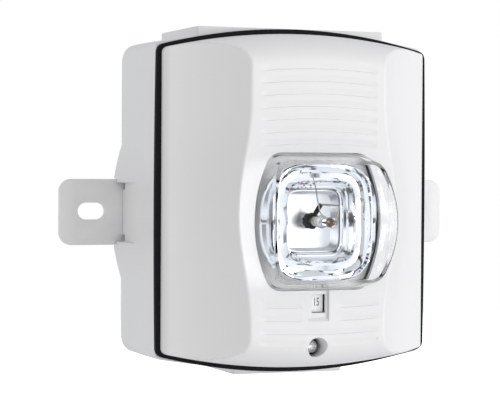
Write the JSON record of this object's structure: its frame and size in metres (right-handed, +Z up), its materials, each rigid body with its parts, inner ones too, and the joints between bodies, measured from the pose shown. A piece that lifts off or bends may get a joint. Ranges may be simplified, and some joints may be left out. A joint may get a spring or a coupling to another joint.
{
  "type": "horn strobe",
  "caption": "White outdoor wall horn strobe: a flanged surface back box, a black gasket, and a slope-sided front unit with a clear strobe lens.",
  "frame": {"origin": "on the wall plane, midway across the back box and midway up the front housing", "axes": "+Z up, +X to the right as seen from the front, -Y out of the wall"},
  "size_m": [0.1834, 0.0976, 0.1485],
  "materials": {
    "unit_white": "fine satin moulding texture",
    "box_white": "satin powder coat on a cast box",
    "flange_paint": "satin powder coat on steel",
    "black_rubber": "matt",
    "clear_lens": "clear polished polycarbonate",
    "bright_chrome": "vacuum-plated mirror finish on moulded plastic",
    "tube_glass": "clear glass",
    "electrode_metal": "drawn wire",
    "zinc_steel": "bright zinc plate",
    "spring_steel": "bright strip",
    "brass": "plain",
    "plug_plastic": "plain moulding",
    "terminal_plastic": "plain moulding",
    "board_green": "solder mask",
    "capacitor_sleeve": "shrink sleeve",
    "ferrite": "sintered, matt",
    "coil_copper": "varnished copper winding",
    "label_white": "plain moulding",
    "dial_plastic": "plain moulding"
  },
  "bodies": {
    "back_assembly": {"back_box": "box_white", "mounting_flange_left": "flange_paint", "mounting_flange_right": "flange_paint", "flange_screw_left": "zinc_steel", "flange_screw_right": "zinc_steel", "conduit_plug_top": "plug_plastic", "conduit_plug_bottom": "plug_plastic", "plug_seal_top": "black_rubber", "plug_seal_bottom": "black_rubber", "housing_gasket": "black_rubber", "mounting_plate": "unit_white", "plate_screw_1": "zinc_steel", "plate_screw_2": "zinc_steel", "plate_screw_3": "zinc_steel", "plate_screw_4": "zinc_steel", "terminal_block": "terminal_plastic", "terminal_screw_1": "brass", "terminal_screw_2": "brass", "terminal_screw_3": "brass", "terminal_screw_4": "brass", "shorting_spring": "spring_steel", "nut_clip": "spring_steel"},
    "front_unit": {"front_housing": "unit_white", "rear_cover": "unit_white", "horn_retainer": "unit_white", "lens_seal": "black_rubber", "tube_boot": "black_rubber", "lead_sleeve": "black_rubber", "horn_screen": "black_rubber", "screw_seal": "black_rubber", "lens": "clear_lens", "candela_window": "clear_lens", "reflector": "bright_chrome", "flash_tube": "tube_glass", "cathode": "electrode_metal", "anode": "electrode_metal", "trigger_wire": "electrode_metal", "cover_screw_1": "zinc_steel", "cover_screw_2": "zinc_steel", "cover_screw_3": "zinc_steel", "cover_screw_4": "zinc_steel", "contact_blade_1": "brass", "contact_blade_2": "brass", "contact_blade_3": "brass", "contact_blade_4": "brass", "horn_diaphragm": "brass", "candela_switch": "terminal_plastic", "tone_switch": "terminal_plastic", "horn_case": "terminal_plastic", "circuit_board": "board_green", "storage_capacitor": "capacitor_sleeve", "transformer": "ferrite", "trigger_coil": "coil_copper"},
    "candela_slider": {"candela_slider": "label_white"},
    "tone_dial": {"tone_dial": "dial_plastic"},
    "screw_retainer": {"screw_retainer": "spring_steel"},
    "captive_screw": {"captive_screw": "zinc_steel"}
  },
  "joints": [
    {"name": "front_unit_swing", "type": "hinge", "parent": "back_assembly", "child": "front_unit", "pos_m": [0, -0.049, 0.0712], "axis": [-1, 0, 0], "range_deg": [0, 25]},
    {"name": "candela_slide", "type": "slide", "parent": "front_unit", "child": "candela_slider", "axis": [-1, 0, 0], "range_m": [0, 0.0165]},
    {"name": "tone_dial_turn", "type": "hinge", "parent": "front_unit", "child": "tone_dial", "pos_m": [0.027, -0.046, 0.008], "axis": [0, 1, 0], "range_deg": [0, 315]},
    {"name": "screw_retainer_travel", "type": "slide", "parent": "front_unit", "child": "screw_retainer", "axis": [0, -1, 0], "range_m": [0, 0.005]},
    {"name": "captive_screw_turn", "type": "hinge", "parent": "screw_retainer", "child": "captive_screw", "pos_m": [0, -0.0587, -0.0606], "axis": [0, -1, 0], "range_deg": [0, 2250]}
  ],
  "couplings": [
    {"joint": "captive_screw_turn", "follows": "screw_retainer_travel", "rad_per_m": 7854}
  ]
}
